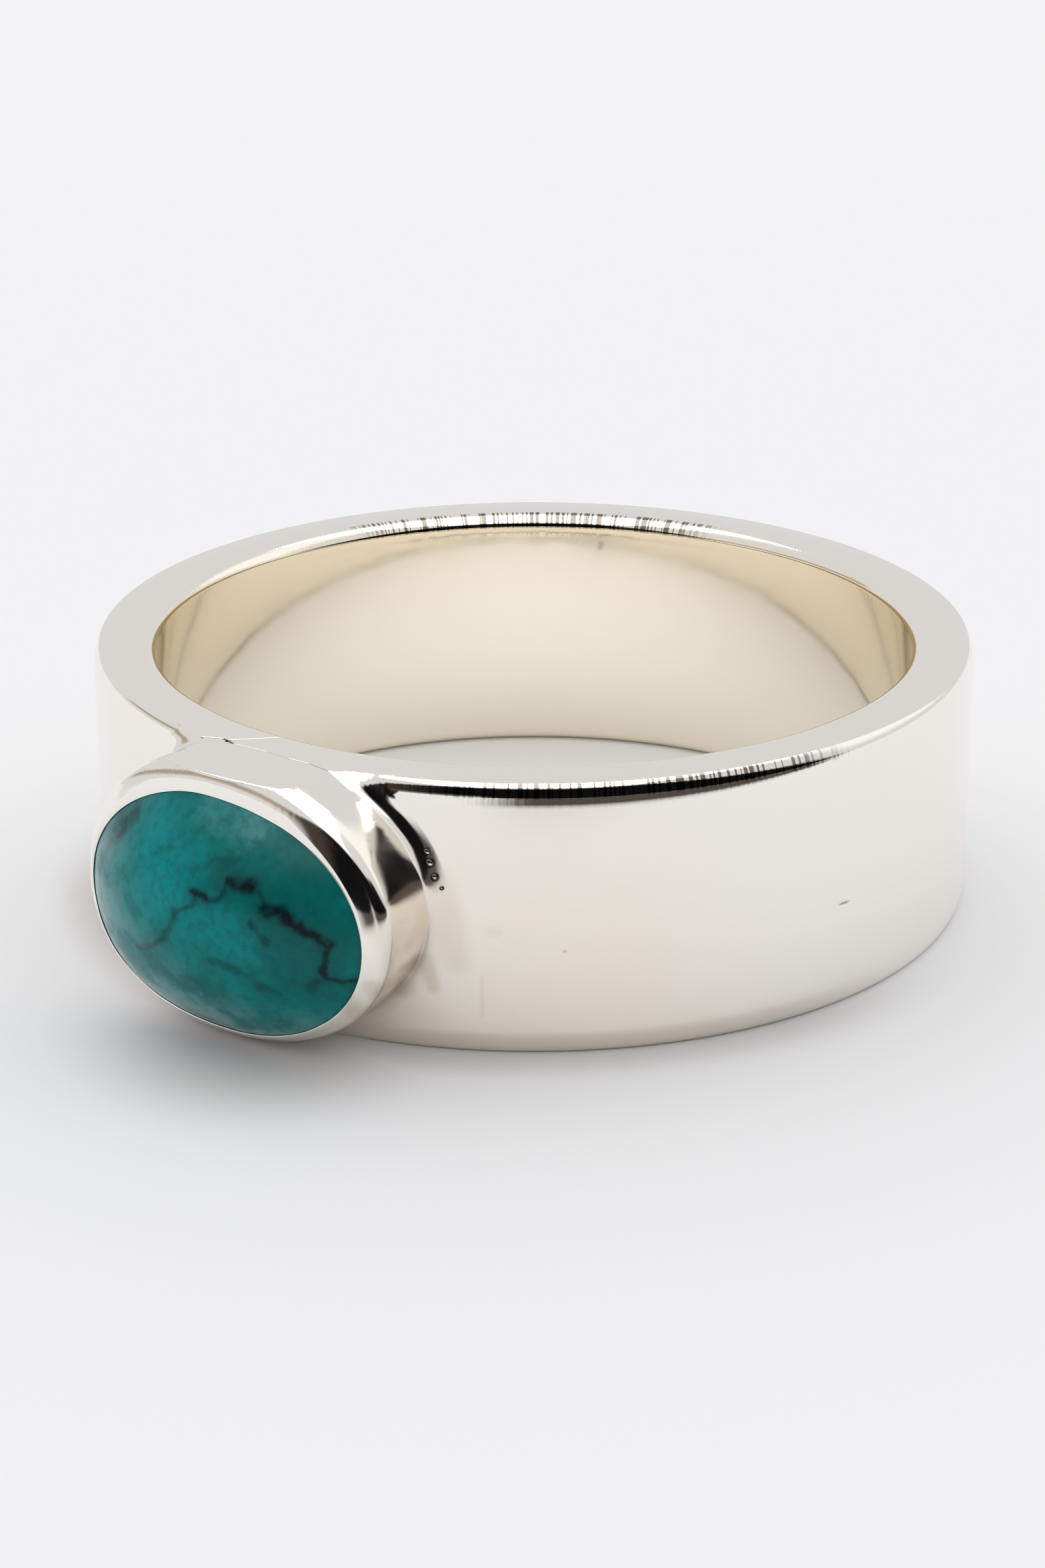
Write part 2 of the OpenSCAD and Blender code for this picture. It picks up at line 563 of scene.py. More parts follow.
# %% [markdown]
# Seen from the front the oval isn't even either. Stone and bezel bulge at the lower left, where the stone
# was cut fuller, and they are pressed in a little at the middle of the upper side. The same pushes go into
# both pieces, so that the hairline between them stays. Each push is a place, a move and a reach.

# %% Pushing the oval out of true
BULGE = (Vector((-2.75, -12.3, -2.0)) * MM, Vector((-0.10, 0, -0.10)) * MM, 2.6 * MM)
DENT = (Vector((0.7, -12.3, 2.8)) * MM, Vector((0, 0, -0.06)) * MM, 1.6 * MM)

for piece in (stone, bezel):
    for at, move, reach in (BULGE, DENT):
        push(piece, at, move, reach)

# %% [markdown]
# The oval is wider than the band, so the maker filed its two long sides flush with the rims. Two bisects
# cut them off and fill the cuts. They leave the facets two thousandths of a millimetre proud, so that no
# face of the bezel lies in the same plane as the band's rim when the two are united. Then the facets'
# edges get a small bevel, as the polishing wheel gave them.

# %% Filing the bezel flush
PROUD = 0.002 * MM
CLOSE_POINTS = 0.03 * MM
FACET_ROUND = 0.06 * MM
FACET_STEPS = 3

edit()
for side in (-1, 1):
    bpy.ops.mesh.select_all(action="SELECT")
    bpy.ops.mesh.bisect(
        plane_co=(0, 0, side * (rim + PROUD)),
        plane_no=(0, 0, side),
        use_fill=True,
        clear_outer=True,
        threshold=SAME_PLACE,
    )


def on_facet_edge(place):
    """Whether a place is on a cut and well above the band."""
    over_band = -place.y - band_height(place.x, rim)
    return abs(place.z) > rim and over_band > SOLDER_HEIGHT / 2


print("points on the facets' edges:", pick(on_facet_edge))
bpy.ops.mesh.remove_doubles(threshold=CLOSE_POINTS)
bpy.ops.mesh.bevel(offset=FACET_ROUND, segments=FACET_STEPS, affect="EDGES")
close_up()
count(bezel)

# %% [markdown]
# Soldering makes band and bezel one piece of metal, and so does a Boolean union. The exact solver finds
# the true line where the fillet runs out on the band.

# %% Soldering the bezel to the band
def carve(piece, tool, operation):
    """Unites the piece with the tool, or cuts the tool out of it, and deletes the tool."""
    take(piece)
    bpy.ops.object.modifier_add(type="BOOLEAN")
    cut = piece.modifiers[-1]
    cut.operation = operation
    cut.solver = "EXACT"
    cut.object = tool
    bpy.ops.object.modifier_apply(modifier=cut.name)
    take(tool)
    bpy.ops.object.delete()


carve(band, bezel, "UNION")
count(band)

# %% [markdown]
# Where the solder didn't quite fill the corner it left a row of pits. Each is a small ball, a little
# uneven and turned its own way, and its middle lies on the surface that it is cut out of. The list gives
# the place and the radius of each, in millimetres.

# %% Pits in the solder
PIT_SHAPE = (1.0, 0.8, 1.2)
PITS = (
    (3.95, -10.065, 1.62, 0.08),
    (4.02, -10.055, 1.36, 0.10),
    (4.13, -10.015, 1.03, 0.09),
    (4.25, -9.93, 0.765, 0.05),
    (-1.27, -10.42, 3.225, 0.06),
)
for x, y, z, size in PITS:
    start_fresh()
    bpy.ops.mesh.primitive_ico_sphere_add(
        subdivisions=2,
        radius=size * MM,
        location=(x * MM, y * MM, z * MM),
        rotation=(x, y, z),
    )
    bpy.context.object.scale = PIT_SHAPE
    pit = settle("pit")
    carve(band, pit, "DIFFERENCE")
count(band)

# %% [markdown]
# Polished metal shows every fault in its shading. Faces that meet softly are shaded smooth, and the
# Weighted Normal modifier lets the wide flat faces keep their own direction, so that only the narrow
# rounded edges turn the light.

# %% Smooth shading
WIDE_FACES_LEAD = 100
SILVER_SMOOTH, STONE_SMOOTH = 35, 30


def smooth(piece, angle):
    """Shades softly where faces meet at less than this angle, in degrees."""
    take(piece)
    bpy.ops.object.shade_smooth_by_angle(angle=math.radians(angle))
    bpy.ops.object.modifier_add(type="WEIGHTED_NORMAL")
    weighted = piece.modifiers[-1]
    weighted.keep_sharp = True
    weighted.weight = WIDE_FACES_LEAD
    bpy.ops.object.modifier_apply(modifier=weighted.name)
    soft = sum(not edge.use_edge_sharp for edge in piece.data.edges)
    print(f"{piece.name}: {soft} of {len(piece.data.edges)} edges are soft")


smooth(band, SILVER_SMOOTH)
smooth(stone, STONE_SMOOTH)

# %% [markdown]
# Materials are built from nodes. A short helper adds a node and fills its inputs, either with a value
# or with the socket of another node, so that each finish below reads from top to bottom. The others name
# what a maker would say: blend two colours, fade a mask in, raise a relief.

# %% Helpers for materials
def put(tree, kind, inputs=None, **settings):
    """Adds a node. Settings are its properties, and an input gets a value or a link."""
    node = tree.nodes.new("ShaderNode" + kind)
    for name, value in settings.items():
        setattr(node, name, value)
    for name, value in (inputs or {}).items():
        if isinstance(value, bpy.types.NodeSocket):
            tree.links.new(value, node.inputs[name])
        else:
            node.inputs[name].default_value = value
    return node


def work_out(tree, operation, first, second=0.0, third=0.0):
    """A number from numbers."""
    return put(tree, "Math", {0: first, 1: second, 2: third}, operation=operation).outputs[0]


def all_of(tree, first, *others):
    """Where all of these masks are: their product."""
    for other in others:
        first = work_out(tree, "MULTIPLY", first, other)
    return first


def vectors(tree, operation, first, second=(0, 0, 0), third=(0, 0, 0)):
    """A vector from vectors, or a number where the operation measures one."""
    node = put(tree, "VectorMath", {0: first, 1: second, 2: third}, operation=operation)
    measures = operation in ("DOT_PRODUCT", "LENGTH", "DISTANCE")
    return node.outputs["Value" if measures else "Vector"]


def scaled(tree, way, size):
    """A vector made this many times as long."""
    return put(tree, "VectorMath", {0: way, "Scale": size}, operation="SCALE").outputs[0]


def blend(tree, share, first, second):
    """Mixes two colours."""
    return put(tree, "Mix", {0: share, 6: first, 7: second}, data_type="RGBA").outputs[2]


def fade(tree, value, start, end, low=0.0, high=1.0):
    """Goes softly from low to high while the value goes from start to end."""
    inputs = {"Value": value, "From Min": start, "From Max": end, "To Min": low, "To Max": high}
    return put(tree, "MapRange", inputs, interpolation_type="SMOOTHSTEP").outputs[0]


def noise(tree, place, scale, detail=2.0, roughness=0.5):
    """A noise with this many waves to the millimetre. Its outputs are a number and a colour."""
    inputs = {"Vector": place, "Scale": scale, "Detail": detail, "Roughness": roughness}
    return put(tree, "TexNoise", inputs)


def relief(tree, height, depth, under=None):
    """A bump of this depth in millimetres, laid over the bumps under it."""
    inputs = {"Height": height, "Distance": depth * MM}
    if under:
        inputs["Normal"] = under
    return put(tree, "Bump", inputs).outputs[0]


def new_material(name):
    """A material with only a Principled shader and its output."""
    made = bpy.data.materials.new(name)
    made.use_nodes = True
    tree = made.node_tree
    tree.nodes.clear()
    shader = put(tree, "BsdfPrincipled")
    put(tree, "OutputMaterial", {"Surface": shader.outputs[0]})
    return made, tree, shader


def millimetres(tree):
    """The place on the piece, in millimetres."""
    return scaled(tree, put(tree, "TexCoord").outputs["Object"], 1 / MM)


def part_along(tree, way, direction):
    """How far a way or a place goes in a direction."""
    return vectors(tree, "DOT_PRODUCT", way, direction)


def from_the_axis(tree, place):
    """The place's own way out from the finger's axis, and how long that is."""
    out = vectors(tree, "MULTIPLY", place, (1, 1, 0))
    return out, vectors(tree, "LENGTH", out)


def finish_with(piece, material):
    """Puts the material on the piece."""
    piece.data.materials.clear()
    piece.data.materials.append(material)
    print(f"{piece.name}: {material.name} with {len(material.node_tree.nodes)} nodes")


# %% [markdown]
# Veins, stains and the solder seam are all strokes: a line between two points that fades out at a given
# distance. A node group works out how far the surface lies from that line.

# %% A node group for strokes
STROKE_CORE = 0.15


def make_stroke_group():
    """The group: place, two ends, width and depth go in, and a mask comes out."""
    group = bpy.data.node_groups.new("stroke", "ShaderNodeTree")
    for name in ("Place", "From", "To"):
        group.interface.new_socket(name, in_out="INPUT", socket_type="NodeSocketVector")
    for name in ("Width", "Depth"):
        group.interface.new_socket(name, in_out="INPUT", socket_type="NodeSocketFloat")
    group.interface.new_socket("Mask", in_out="OUTPUT", socket_type="NodeSocketFloat")
    given = group.nodes.new("NodeGroupInput").outputs
    result = group.nodes.new("NodeGroupOutput")
    along = vectors(group, "SUBTRACT", given["To"], given["From"])
    across = vectors(group, "SUBTRACT", given["Place"], given["From"])
    reach = vectors(group, "DOT_PRODUCT", across, along)
    length = vectors(group, "DOT_PRODUCT", along, along)
    share = put(group, "Math", {0: reach, 1: length}, operation="DIVIDE", use_clamp=True).outputs[0]
    distance = vectors(group, "DISTANCE", across, scaled(group, along, share))
    core = work_out(group, "MULTIPLY", given["Width"], STROKE_CORE)
    mask = fade(group, distance, given["Width"], core)
    group.links.new(all_of(group, mask, given["Depth"]), result.inputs["Mask"])
    return group


stroke_group = make_stroke_group()
print("nodes in the group:", len(stroke_group.nodes))

# %% [markdown]
# We place the group once for each stretch of a line and keep the darkest. Two more helpers give the place
# that strokes are drawn on: as it is seen from the front, or pushed about a little by a noise.

# %% Placing strokes
def strokes(tree, place, lines, wider=1.0, depth_share=1.0):
    """The darkest of many strokes. Each line is its width, its depth and its points as (x, z)."""
    mask = 0.0
    for width, depth, *points in lines:
        for start, end in zip(points, points[1:]):
            stroke = tree.nodes.new("ShaderNodeGroup")
            stroke.node_tree = stroke_group
            tree.links.new(place, stroke.inputs["Place"])
            stroke.inputs["From"].default_value = (start[0], 0, start[1])
            stroke.inputs["To"].default_value = (end[0], 0, end[1])
            stroke.inputs["Width"].default_value = width * wider
            stroke.inputs["Depth"].default_value = depth * depth_share
            mask = work_out(tree, "MAXIMUM", mask, stroke.outputs["Mask"])
    return mask


def seen_from_front(tree, place):
    """The place with its height over the finger's axis left out, for strokes drawn as (x, z)."""
    return vectors(tree, "MULTIPLY", place, (1, 0, 1))


def push_about(tree, place, scale, reach):
    """The place, pushed about in x and z by a noise, so that what is drawn on it wanders."""
    way = noise(tree, place, scale, 4, 0.6).outputs["Color"]
    way = vectors(tree, "SUBTRACT", way, (0.5, 0.5, 0.5))
    return vectors(tree, "MULTIPLY_ADD", way, (reach, 0, reach), place)


# %% [markdown]
# The turquoise is a blue-green body with lighter and darker clouds and thin blue-black veins of the mother
# rock, each with a soft dark halo. The veins were followed on the stone from point to point, and each
# stretch is a stroke: its width, its depth and its points, in millimetres. They are drawn on a place that
# a noise has pushed about, so that they wander and swell as real ones do.

# %% Veins of the turquoise
VEINS = (
    (0.20, 1.0, (1.05, 1.36), (1.28, 1.37), (1.55, 1.33)),
    (0.12, 0.9, (0.15, 0.99), (0.33, 0.95), (0.50, 0.93)),
    (0.20, 1.0, (1.88, 0.89), (2.23, 0.80), (2.59, 0.60)),
    (0.15, 1.0, (2.59, 0.60), (3.03, 0.33), (3.19, 0.13)),
    (0.10, 0.9, (3.19, 0.13), (3.16, -0.18), (3.09, -0.42), (3.12, -0.66)),
    (0.09, 0.8, (3.12, -0.66), (3.37, -0.74), (3.65, -0.68)),
    (0.09, 0.55, (0.50, 0.93), (0.83, 0.95), (0.97, 1.13), (1.05, 1.36)),
    (0.09, 0.5, (1.55, 1.33), (1.79, 1.19), (1.90, 0.92)),
    (0.11, 0.5, (0.33, 0.95), (0.13, 0.69), (-0.27, 0.47), (-0.43, 0.09), (-0.62, -0.19)),
    (0.10, 0.6, (-0.62, -0.19), (-1.11, -0.59), (-1.67, -0.84)),
    (0.09, 0.6, (1.66, 0.58), (1.84, 0.35), (2.01, 0.16)),
    (0.13, 0.45, (0.60, -0.53), (0.84, -0.50), (1.28, -0.64), (1.59, -0.78), (2.03, -1.18)),
    (0.12, 0.4, (3.11, -0.68), (2.85, -0.81), (2.78, -1.01)),
    (0.13, 0.3, (0.02, 1.42), (0.44, 1.65), (1.07, 1.82), (1.35, 2.16)),
    (0.24, 0.75, (-2.28, 1.98), (-2.48, 1.70), (-2.74, 1.38)),
    (0.14, 0.5, (-2.74, 1.38), (-3.06, 1.02)),
    (0.12, 0.4, (-3.06, -0.57), (-3.03, -0.81), (-2.98, -1.05)),
)
VEIN_WIDTH = 1.3
WANDER_WAVES, VEIN_WANDER = 2.2, 0.35
SWELL_WAVES, SWELL_FADE = 3.0, (0.3, 0.55, 0.5, 1.0)
HALO_WIDTH, HALO_DEPTH = 4.2, 0.5

turquoise, tree, shader = new_material("turquoise")
place = millimetres(tree)
flat = seen_from_front(tree, place)
wander = push_about(tree, flat, WANDER_WAVES, VEIN_WANDER)
swell = fade(tree, noise(tree, flat, SWELL_WAVES, 3).outputs[0], *SWELL_FADE)
veins = all_of(tree, strokes(tree, wander, VEINS, VEIN_WIDTH), swell)
halos = strokes(tree, wander, VEINS, HALO_WIDTH, HALO_DEPTH)
print("stretches of vein:", sum(len(points) - 1 for width, depth, *points in VEINS))

# %% [markdown]
# The body's clouds are wide strokes, and they drift further from their line than the veins do. A noise
# adds smaller clouds and a dark grain.

# %% Clouds of the turquoise
DARK_CLOUDS = (
    (1.9, 0.6, (2.7, 1.4), (3.3, -0.4)),
    (1.1, 0.35, (1.2, 1.8), (2.6, 1.2)),
    (1.0, 0.4, (-0.9, -0.9), (0.2, -1.3)),
    (0.8, 0.35, (-2.9, 1.9), (-3.3, 0.6)),
)
LIGHT_CLOUDS = (
    (1.7, 0.9, (-1.9, 1.7), (-0.7, 0.8)),
    (1.2, 0.6, (-1.4, -1.2), (-0.4, -0.4)),
    (1.0, 0.5, (0.7, 0.2), (1.2, -0.1)),
)
# Pale patches near the top of the dome and at its lower left, drawn as strokes and broken up by the noise.
PALE_PATCHES = (
    (0.50, 0.30, (-0.1, 2.62), (1.2, 2.40)),
    (0.30, 0.40, (0.85, 2.45), (1.15, 2.35)),
    (0.7, 0.2, (-2.2, -0.9), (-1.4, -1.5)),
)
TEAL_DARK = (0.002, 0.080, 0.076, 1)
TEAL = (0.001, 0.175, 0.172, 1)
TEAL_BRIGHT = (0.000, 0.250, 0.255, 1)
PALE_BLUE = (0.18, 0.40, 0.40, 1)
DRIFT_WAVES, CLOUD_DRIFT = 0.7, 1.6
CLOUD_WAVES, GRAIN_WAVES = 1.1, 4.5
BRIGHT_FADE, DARK_FADE = (0.50, 0.75, 0.0, 0.5), (0.48, 0.28, 0.0, 0.5)
GRAIN_FADE, SPECK_FADE = (0.4, 0.75, 0.0, 0.5), (0.25, 0.7)

drift = push_about(tree, flat, DRIFT_WAVES, CLOUD_DRIFT)
clouds = noise(tree, place, CLOUD_WAVES, 5, 0.6).outputs[0]
grain = noise(tree, place, GRAIN_WAVES, 4, 0.6).outputs[0]
specks = all_of(tree, strokes(tree, drift, PALE_PATCHES), fade(tree, clouds, *SPECK_FADE))
body = blend(tree, strokes(tree, drift, LIGHT_CLOUDS), TEAL, TEAL_BRIGHT)
body = blend(tree, strokes(tree, drift, DARK_CLOUDS), body, TEAL_DARK)
body = blend(tree, fade(tree, clouds, *BRIGHT_FADE), body, TEAL_BRIGHT)
body = blend(tree, fade(tree, clouds, *DARK_FADE), body, TEAL_DARK)
body = blend(tree, specks, body, PALE_BLUE)
body = blend(tree, fade(tree, grain, *GRAIN_FADE), body, TEAL_DARK)
print("clouds drawn by hand:", len(DARK_CLOUDS) + len(LIGHT_CLOUDS) + len(PALE_PATCHES))

# %% [markdown]
# Halos and veins lie over the clouds. The polish is soft: the stone mirrors little from the front, and
# where we look along it a pale grey-blue sheen is painted into its colour, in patches.

# %% Veins over the clouds, the polish and a painted sheen
VEIN_BLACK = (0.003, 0.010, 0.014, 1)
PAINTED_SHEEN = (0.32, 0.48, 0.50, 1)
SHEEN_PATCH_FADE, SIDEWAYS_FADE = (0.38, 0.60, 0.15, 1.0), (0.36, 0.85, 0.0, 0.5)
POLISH_ROUGHNESS = 0.22
TURQUOISE_IOR = 1.61
SHINE = 0.09

body = blend(tree, halos, body, TEAL_DARK)
body = blend(tree, veins, body, VEIN_BLACK)
# Painted sheen: a pale colour blended in, in patches, where the surface turns away from the view.
facing = put(tree, "LayerWeight", {"Blend": 0.5}).outputs["Facing"]
painted_sheen = fade(tree, noise(tree, place, CLOUD_WAVES, 4, 0.55).outputs[0], *SHEEN_PATCH_FADE)
painted_sheen = all_of(tree, painted_sheen, fade(tree, facing, *SIDEWAYS_FADE))
body = blend(tree, painted_sheen, body, PAINTED_SHEEN)
tree.links.new(body, shader.inputs["Base Color"])
shader.inputs["Roughness"].default_value = POLISH_ROUGHNESS
shader.inputs["IOR"].default_value = TURQUOISE_IOR
shader.inputs["Specular IOR Level"].default_value = SHINE
finish_with(stone, turquoise)

# %% [markdown]
# Polished silver is a warm mirror: its own colour shows more with each time that the light has bounced, so
# the inside of the ring looks yellower than the outside, and the inside face is also painted a yellower
# silver as painted bounce light. What makes it look real are its faults, and the first is a tarnish that
# lies over one side. We measure, in millimetres, how deep in the wall a place is from either face and how
# far below the upper rim, because most of the marks keep to such depths.

# %% Colour and tarnish of the silver
SILVER = (0.935, 0.897, 0.835, 1)
BOUNCE_TINTED_SILVER = (0.958, 0.898, 0.785, 1)
TARNISH = (0.890, 0.815, 0.690, 1)
TARNISHED_PLACE = (6.0, -8.9, -2.0)
TARNISH_FADE, TARNISH_DEPTH = (7.0, 1.0), 0.55
HAZE_WAVES, HAZE_FADE = 0.5, (0.2, 0.6, 0.6, 1.0)
INSIDE_FADE = (0.15, 0.05)

silver, tree, shader = new_material("polished_silver")
place = millimetres(tree)
apart = put(tree, "SeparateXYZ", {0: place}).outputs
haze = noise(tree, place, HAZE_WAVES, 4, 0.6).outputs[0]
out, from_axis = from_the_axis(tree, place)
from_finger = work_out(tree, "SUBTRACT", from_axis, finger_r / MM)
from_outside = work_out(tree, "SUBTRACT", band_r / MM, from_axis)
below_rim = work_out(tree, "SUBTRACT", rim / MM, apart["Z"])

from_tarnish = vectors(tree, "DISTANCE", place, TARNISHED_PLACE)
tarnished = fade(tree, from_tarnish, *TARNISH_FADE, 0.0, TARNISH_DEPTH)
tarnished = all_of(tree, tarnished, fade(tree, haze, *HAZE_FADE))
tone = blend(tree, tarnished, SILVER, TARNISH)
# Painted bounce light: the inside face gets a yellower silver than the outside.
tone = blend(tree, fade(tree, from_finger, *INSIDE_FADE), tone, BOUNCE_TINTED_SILVER)
print("thickness of the wall in mm:", round(band_wall / MM, 2))

# %% [markdown]
# The solder has left brown stains on the front and one spot at the back, and the pits are darkened round
# their middles. The stains are strokes again. They are drawn as seen from the front and so go through the
# whole ring, and a mask keeps each set to its half.

# %% Stains and dark pits
SOLDER_BROWN = (0.42, 0.32, 0.20, 1)
DARK_MARKS_AND_SHADE = (0.05, 0.035, 0.025, 1)
DARKENING_REACH, DARKENING_FULL, DARKENING_DEPTH = 1.5, 0.9, 0.8
STAINS = (
    (0.35, 0.30, (3.30, -0.76), (3.43, -1.72)),
    (0.25, 0.30, (3.88, -0.86), (4.01, -1.66)),
    (0.45, 0.18, (4.12, 0.95), (4.40, 0.00), (4.50, -1.00)),
    (0.07, 0.14, (5.01, -1.35), (5.01, -2.29)),
    (0.20, 0.10, (5.20, -0.24), (5.30, -0.24)),
    (0.05, 0.50, (6.55, -0.70), (6.57, -0.70)),
    (0.05, 0.90, (10.38, -0.67), (10.40, -0.67)),
)
BACK_STAINS = (
    (0.12, 0.40, (-3.59, 2.40), (-3.56, 2.50)),
)

flat = seen_from_front(tree, place)
on_front = work_out(tree, "LESS_THAN", apart["Y"], 0.0)
at_back = work_out(tree, "SUBTRACT", 1.0, on_front)
tone = blend(tree, all_of(tree, strokes(tree, flat, STAINS), on_front), tone, SOLDER_BROWN)
tone = blend(tree, all_of(tree, strokes(tree, flat, BACK_STAINS), at_back), tone, SOLDER_BROWN)
darkening = 0.0
for x, y, z, size in PITS:
    from_pit = vectors(tree, "DISTANCE", place, (x, y, z))
    here = fade(tree, from_pit, DARKENING_REACH * size, DARKENING_FULL * size, 0.0, DARKENING_DEPTH)
    darkening = work_out(tree, "MAXIMUM", darkening, here)
tone = blend(tree, darkening, tone, DARK_MARKS_AND_SHADE)
print("stains:", len(STAINS) + len(BACK_STAINS), "pits with dirt:", len(PITS))

# %% [markdown]
# On the rounded edges the bright panel above shows as a thin line, which is broken into beads at the back
# on the inner edge and at the front right on the outer one. A noise that only changes with the direction
# from the finger's axis gives stripes across the edges, from one face of the band to the next. Where it is
# low we darken the silver, between the heights and the sides where the beads are seen: painted shade in
# the gaps between the beads.

# %% Painted gaps between the beads on the rounded edges
RIPPLES_ROUND = 130.0
BEAD_GAP_DEPTH = 0.83
TOWARDS_BACK = (-0.56, 0.83, 0)
TOWARDS_RIGHT = (0.73, -0.68, 0)
RIPPLE_FADE = (0.52, 0.41)
INNER_ROUND, OUTER_ROUND = (0.42, 0.34), (0.21, 0.15)
HIGH_FADE, BACK_FADE, RIGHT_FADE = (0.35, 0.25), (8.0, 8.6), (9.3, 10.2)
JUST_OFF = 0.005

ripple_place = scaled(tree, vectors(tree, "NORMALIZE", out), RIPPLES_ROUND)
ripple = noise(tree, ripple_place, 1.0, 0).outputs[0]
on_inner_round = fade(tree, from_finger, *INNER_ROUND)
on_outer_round = fade(tree, from_outside, *OUTER_ROUND)
in_band = work_out(tree, "GREATER_THAN", from_outside, -JUST_OFF)
under_rim = work_out(tree, "GREATER_THAN", below_rim, JUST_OFF)
high_up = fade(tree, below_rim, *HIGH_FADE)
at_the_back = fade(tree, part_along(tree, place, TOWARDS_BACK), *BACK_FADE)
at_the_right = fade(tree, part_along(tree, place, TOWARDS_RIGHT), *RIGHT_FADE)
beaded_in_front = all_of(tree, on_outer_round, at_the_right, in_band, under_rim)
beaded = work_out(tree, "MAXIMUM", beaded_in_front, all_of(tree, on_inner_round, at_the_back))
# Painted shade: dark stripes that break the edges' bright line into beads.
painted_bead_gaps = all_of(tree, fade(tree, ripple, *RIPPLE_FADE, 0.0, BEAD_GAP_DEPTH), beaded, high_up)
tone = blend(tree, painted_bead_gaps, tone, DARK_MARKS_AND_SHADE)
print("width of a bead ripple at the outside, in mm:", round(band_r / MM / RIPPLES_ROUND, 2))

# %% [markdown]
# A dark seam shows on the rim where band and bezel meet. It is a row of strokes too, but in the plane of
# the rim, so its points are (x, y), and it is also pressed into the surface a little.

# %% The seam on the rim
SEAM = (
    (0.035, 0.8, (-2.46, -10.78), (-1.95, -10.55), (-1.45, -10.36)),
    (0.06, 1.0, (-1.45, -10.36), (-1.09, -10.48)),
    (0.02, 0.35, (-1.09, -10.48), (-0.15, -10.46), (0.55, -10.54)),
    (0.03, 0.45, (0.55, -10.54), (1.09, -10.53), (1.59, -10.63), (1.83, -10.67)),
    (0.02, 0.35, (-1.30, -10.36), (-0.42, -9.57)),
)
SEAM_REACH = 0.03

on_rim = work_out(tree, "LESS_THAN", below_rim, SEAM_REACH)
rim_place = put(tree, "CombineXYZ", {"X": apart["X"], "Z": apart["Y"]}).outputs[0]
seam = all_of(tree, strokes(tree, rim_place, SEAM), on_rim)
tone = blend(tree, seam, tone, DARK_MARKS_AND_SHADE)
tree.links.new(tone, shader.inputs["Base Color"])
shader.inputs["Metallic"].default_value = 1.0
print("stretches of seam:", sum(len(points) - 1 for width, depth, *points in SEAM))

# %% [markdown]
# The haze of handling roughens the mirror, less so on the rounded edges, and a slow waviness bends what it
# shows. Light that has bounced four times inside the ring would end in black, because a render follows
# only a few bounces: here it ends in a khaki glow, as the real one shows in its depths.

# %% Roughness, glow and waviness of the silver
DEEP_GLOW = (0.21, 0.19, 0.15, 1)
NO_GLOW = (0, 0, 0, 1)
DEEP_BOUNCE = 3.5
ROUGH_FADE = (0.3, 0.8, 0.06, 0.13)
EDGE_FADE, EDGE_ROUGHNESS = (0.6, 0.4), 0.5
WAVES, WAVE_DEPTH = 0.35, 0.010
RIPPLE_DEPTH, SEAM_DEPTH = 0.002, 0.02

from_a_rim = work_out(tree, "SUBTRACT", rim / MM, work_out(tree, "ABSOLUTE", apart["Z"]))
near_edge = fade(tree, from_a_rim, *EDGE_FADE)
smooth_edge = fade(tree, near_edge, 0.0, 1.0, 1.0, EDGE_ROUGHNESS)
rough = all_of(tree, fade(tree, haze, *ROUGH_FADE), smooth_edge)
tree.links.new(rough, shader.inputs["Roughness"])

deep = work_out(tree, "GREATER_THAN", put(tree, "LightPath").outputs["Glossy Depth"], DEEP_BOUNCE)
tree.links.new(blend(tree, deep, NO_GLOW, DEEP_GLOW), shader.inputs["Emission Color"])
shader.inputs["Emission Strength"].default_value = 1.0
silver.cycles.emission_sampling = "NONE"

uneven = relief(tree, noise(tree, place, WAVES, 2).outputs[0], WAVE_DEPTH)
uneven = relief(tree, all_of(tree, ripple, near_edge), RIPPLE_DEPTH, uneven)
uneven = relief(tree, work_out(tree, "MULTIPLY", seam, -1.0), SEAM_DEPTH, uneven)
tree.links.new(uneven, shader.inputs["Normal"])
finish_with(band, silver)

# %% [markdown]
# Table and room are both drawn by direction. We count an azimuth in degrees from the camera's side to the
# right, and one more helper gives a mask for a stretch of angles or heights with soft ends.

# %% Helpers for directions
TOWARDS_CAMERA = Vector((CAMERA_PLACE.x, CAMERA_PLACE.y, 0)).normalized()
TO_THE_RIGHT = Vector((-TOWARDS_CAMERA.y, TOWARDS_CAMERA.x, 0))


def between(tree, value, start, end, soft):
    """A mask that opens at start and closes at end, each time over the soft part on both sides."""
    opens = fade(tree, value, start - soft, start + soft)
    closes = fade(tree, value, end + soft, end - soft)
    return all_of(tree, opens, closes)


def angle_between(tree, first, second):
    """The angle, in degrees, of a way that goes this far in two directions, from the second one."""
    return work_out(tree, "DEGREES", work_out(tree, "ARCTAN2", first, second))


print("towards the camera:", [round(part, 2) for part in TOWARDS_CAMERA])

# %% [markdown]
# The table is a plain pale sheet that runs far past the ring on every side. It is no part of the ring.
# Camera and room keep the light off its front part, which shows only in the silver, so the sheet is darker
# there for mirrored rays alone.

# %% Floor
FLOOR_SIZE = 4.0
SHADE_FADE, SHADE_AZIMUTHS = (22.5, 38.5), (-8, 76, 8)

start_fresh()
bpy.ops.mesh.primitive_plane_add(size=FLOOR_SIZE, location=(0, 0, -rim))
floor = settle("floor")
paper, tree, shader = new_material("pale_paper")
place = millimetres(tree)
forward = part_along(tree, place, TOWARDS_CAMERA)
azimuth = angle_between(tree, part_along(tree, place, TO_THE_RIGHT), forward)
mirrored = put(tree, "LightPath").outputs["Is Glossy Ray"]
in_front = fade(tree, forward, *SHADE_FADE)
shaded = all_of(tree, in_front, between(tree, azimuth, *SHADE_AZIMUTHS), mirrored)
print("width of the floor in m:", FLOOR_SIZE)
